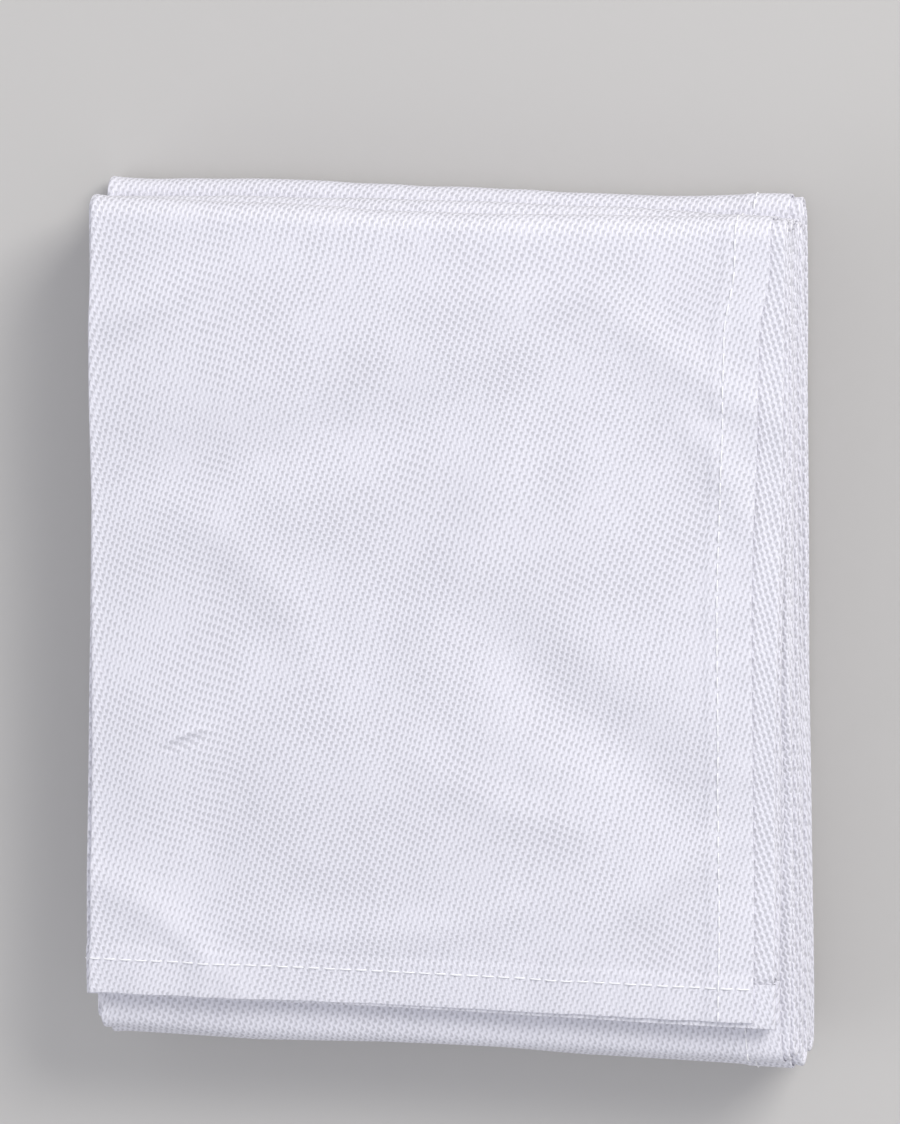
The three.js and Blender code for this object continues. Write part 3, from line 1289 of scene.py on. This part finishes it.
@dataclass
class HemStitching:
    """The sewn line that holds each turned hem, made along the seam by Geometry Nodes."""

    net: FoldedNet
    material: bpy.types.Material
    from_edge: float = 6.4 * MM
    stitch_pitch: float = 2.8 * MM
    places_per_stitch: int = 8
    thread_radius: float = 0.15 * MM
    thread_sides: int = 5
    dip: float = 0.5 * MM
    dip_sharpness: float = 3.0
    path_step: float = 0.7 * MM
    end_gap: float = 0.5 * MM
    probe: float = 0.1 * MM

    def _seam_path(self, seam: Seam, lift: float) -> np.ndarray:
        """Return points along one seam.

        Args:
            seam: Which edge of the net it holds.
            lift: How far outside the cloth the points lie.

        Returns:
            The points in order.
        """
        on_side = seam in (Seam.NEAR_SIDE, Seam.FAR_SIDE)
        run, span = self.net.length, self.net.width
        if not on_side:
            run, span = span, run
        along = steps(self.end_gap, run - self.end_gap, self.path_step)
        at_start = seam in (Seam.NEAR_SIDE, Seam.START_END)
        across = np.full_like(along, self.from_edge if at_start else span - self.from_edge)
        u, v = (across, along) if on_side else (along, across)
        return self.net.place(u, v, -lift)

    def _guide(self) -> bpy.types.Object:
        """Make a mesh of plain edges along all four seams, which knows its way out of the cloth.

        Returns:
            The guide, with the direction off the cloth stored on each point.
        """
        points, outward, edges = [], [], []
        for seam in Seam:
            on_cloth = self._seam_path(seam, 0.0)
            away = self._seam_path(seam, self.probe) - on_cloth
            away /= np.maximum(np.linalg.norm(away, axis=1, keepdims=True), TINY)
            first = len(points)
            points += on_cloth.tolist()
            outward += away.tolist()
            edges += [(first + step, first + step + 1) for step in range(len(on_cloth) - 1)]
        mesh = bpy.data.meshes.new("hem_guide")
        mesh.from_pydata(points, edges, [])
        stored = mesh.attributes.new(OUTWARD, "FLOAT_VECTOR", "POINT")
        stored.data.foreach_set("vector", np.array(outward, np.float32).ravel())
        return plain_object("hem_guide", mesh)

    def _tree(self) -> bpy.types.NodeTree:
        """Build the tree that sews along the seams: one repeat for each stitch, up out of the cloth
        and down through it again.

        Returns:
            The Geometry Nodes tree, with named inputs for the stitch's sizes.
        """
        graph, given, result = new_group(
            "stitches_along_seams",
            "GeometryNodeTree",
            {
                "Seams": "Geometry",
                "Stitch Pitch": "Float",
                "Places Per Stitch": "Int",
                "Thread Radius": "Float",
                "Thread Sides": "Int",
                "Dip": "Float",
                "Dip Sharpness": "Float",
                "Thread": "Material",
            },
            {"Stitches": "Geometry"},
        )
        curve = graph.out("GeometryNodeMeshToCurve", {"Mesh": given["Seams"]})
        gap = graph.math("DIVIDE", given["Stitch Pitch"], given["Places Per Stitch"])
        spacing = {"Curve": curve, "Length": gap}
        spaced = graph.out("GeometryNodeResampleCurve", spacing, mode="LENGTH")

        index = graph.out("GeometryNodeInputIndex")
        phase = graph.math("DIVIDE", index, given["Places Per Stitch"])
        wave = graph.math("COSINE", graph.math("MULTIPLY", phase, math.tau))
        fall = graph.math("MULTIPLY_ADD", wave, -0.5, 0.5)
        fall = graph.math("POWER", fall, given["Dip Sharpness"])
        fall = graph.math("MULTIPLY", fall, given["Dip"])
        rise = graph.math("SUBTRACT", given["Thread Radius"], fall)
        stored = {"Name": OUTWARD}
        outward = graph.out("GeometryNodeInputNamedAttribute", stored, data_type="FLOAT_VECTOR")
        offset = graph.out("ShaderNodeVectorMath", {0: outward, "Scale": rise}, operation="SCALE")
        sewn = graph.out("GeometryNodeSetPosition", {"Geometry": spaced, "Offset": offset})

        section = {"Resolution": given["Thread Sides"], "Radius": given["Thread Radius"]}
        profile = graph.out("GeometryNodeCurvePrimitiveCircle", section)
        sweep = {"Curve": sewn, "Profile Curve": profile, "Fill Caps": True}
        thread = graph.out("GeometryNodeCurveToMesh", sweep)
        smooth = graph.out("GeometryNodeSetShadeSmooth", {"Geometry": thread})
        real = graph.out("GeometryNodeRealizeInstances", {"Geometry": smooth})
        finish = {"Geometry": real, "Material": given["Thread"]}
        graph.feed(result, {"Stitches": graph.out("GeometryNodeSetMaterial", finish)})
        return graph.tree

    def build(self, name: str) -> bpy.types.Object:
        """Sew the hems.

        Args:
            name: The piece's name.

        Returns:
            The stitches as one plain mesh object.
        """
        guide = self._guide()
        tree = self._tree()
        modifier = guide.modifiers.new("stitches", "NODES")
        modifier.node_group = tree
        values = {
            "Stitch Pitch": self.stitch_pitch,
            "Places Per Stitch": self.places_per_stitch,
            "Thread Radius": self.thread_radius,
            "Thread Sides": self.thread_sides,
            "Dip": self.dip,
            "Dip Sharpness": self.dip_sharpness,
            "Thread": self.material,
        }
        for socket in tree.interface.items_tree:
            if socket.name in values:
                modifier[socket.identifier] = values[socket.name]

        evaluated = guide.evaluated_get(bpy.context.evaluated_depsgraph_get())
        mesh = bpy.data.meshes.new_from_object(evaluated)
        guide.modifiers.remove(modifier)
        bpy.data.objects.remove(guide)
        mesh.name = name
        return plain_object(name, mesh)


# The studio


@dataclass(frozen=True)
class Lamp:
    """One square soft light: where it hangs, its side in metres, its watts and its colour."""

    name: str
    place: tuple[float, float, float]
    size: float
    power: float
    colour: tuple[float, float, float]

    def hang(self, aim: Vector) -> bpy.types.Object:
        """Hang it so that it faces a point.

        Args:
            aim: The point.

        Returns:
            The light object, which the camera doesn't see.
        """
        data = bpy.data.lights.new(self.name, "AREA")
        data.size, data.energy, data.color = self.size, self.power, self.colour
        made = plain_object(self.name, data)
        turn = (aim - Vector(self.place)).to_track_quat("-Z", "Y")
        made.matrix_world = Matrix.Translation(self.place) @ turn.to_matrix().to_4x4()
        made.visible_camera = False
        return made


@dataclass
class Studio:
    """Plain pale floor, soft light, and the camera where the photograph was taken from."""

    floor_size: float = 14.0
    image_size: tuple[int, int] = (900, 1124)
    focal_pixels: float = 9720.0
    sensor: float = 36.0
    camera_place: tuple[float, float, float] = (0.3566, 0.3753, 1.6025)
    camera_tilt: tuple[float, float, float] = (-12.607, 12.651, -0.391)
    camera_clip: tuple[float, float] = (0.05, 50.0)
    world_colour: Colour = (0.94, 0.945, 1.0, 1.0)
    world_strength: float = 0.64
    key: Lamp = Lamp(
        "key", place=(0.95, 1.0, 1.05), size=0.7, power=19.5, colour=(1.0, 0.985, 0.955)
    )
    fill: Lamp = Lamp(
        "fill", place=(-1.3, -0.4, 1.2), size=1.4, power=4.5, colour=(0.94, 0.96, 1.0)
    )
    aim: tuple[float, float, float] = (0.0, 0.0, 0.01)

    def floor(self) -> bpy.types.Object:
        """Lay the floor.

        Returns:
            The floor, declared as stage.
        """
        half = self.floor_size / 2
        mesh = bpy.data.meshes.new("studio_floor")
        corners = [(-half, -half, 0), (half, -half, 0), (half, half, 0), (-half, half, 0)]
        mesh.from_pydata(corners, [], [(0, 1, 2, 3)])
        made = plain_object("studio_floor", mesh)
        mesh.materials.append(FloorFinish().material())
        made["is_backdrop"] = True
        return made

    def camera(self) -> bpy.types.Object:
        """Set the camera up as the photograph's was.

        Returns:
            The camera, now the scene's own.
        """
        data = bpy.data.cameras.new("camera")
        data.sensor_width = self.sensor
        data.lens = self.sensor * self.focal_pixels / max(self.image_size)
        data.clip_start, data.clip_end = self.camera_clip
        made = plain_object("camera", data)
        pitch, yaw, roll = (math.radians(angle) for angle in self.camera_tilt)
        turn = (
            Matrix.Rotation(yaw, 4, "Y")
            @ Matrix.Rotation(pitch, 4, "X")
            @ Matrix.Rotation(roll, 4, "Z")
        )
        made.matrix_world = Matrix.Translation(self.camera_place) @ turn
        bpy.context.scene.camera = made
        return made

    def lights(self) -> None:
        """Hang the lights, a soft key from the upper right and a weak fill opposite, and the sky."""
        for lamp in (self.key, self.fill):
            lamp.hang(Vector(self.aim))
        world = bpy.data.worlds.new("studio")
        world.use_nodes = True
        background = next(n for n in world.node_tree.nodes if n.type == "BACKGROUND")
        background.inputs["Color"].default_value = self.world_colour
        background.inputs["Strength"].default_value = self.world_strength
        bpy.context.scene.world = world
        bpy.context.scene.view_settings.view_transform = "Standard"


def corners(box: tuple[Vector, Vector]) -> list[list[float]]:
    """Turn a box into plain numbers that can be written out.

    Args:
        box: Its lowest and highest corners.

    Returns:
        The two corners as lists.
    """
    return [[float(value) for value in corner] for corner in box]


def main() -> None:
    """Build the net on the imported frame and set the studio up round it."""
    logging.basicConfig(level=logging.INFO, format="%(name)s: %(message)s")
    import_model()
    cad_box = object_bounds()

    studio = Studio()
    studio.camera()
    studio.floor()
    studio.lights()

    fibre = fibre_group()
    net_finish = NetFinish().material(fibre, openwork_group())
    thread_finish = ThreadFinish().material(fibre)

    low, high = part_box(CAD_NODE)
    size = high - low
    net = FoldedNet(size.x, size.y, size.z)
    sheet = SheetMesh(net).build("net_sheet")
    sheet.data.materials.append(net_finish)
    LOG.info("net_sheet: %d faces, %.3f x %.3f m flat", len(sheet.data.polygons), *net.cut_size)

    stitches = HemStitching(net, thread_finish).build("hem_stitches")
    LOG.info("hem_stitches: %d faces", len(stitches.data.polygons))

    for piece, slot in ((sheet, Slot.NET), (stitches, Slot.THREAD)):
        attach(piece, BODY)
    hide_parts(CAD_NODE)
    net.cut_size

    {"cad": corners(cad_box), "visual": corners(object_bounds())}


if __name__ == "__main__":
    main()
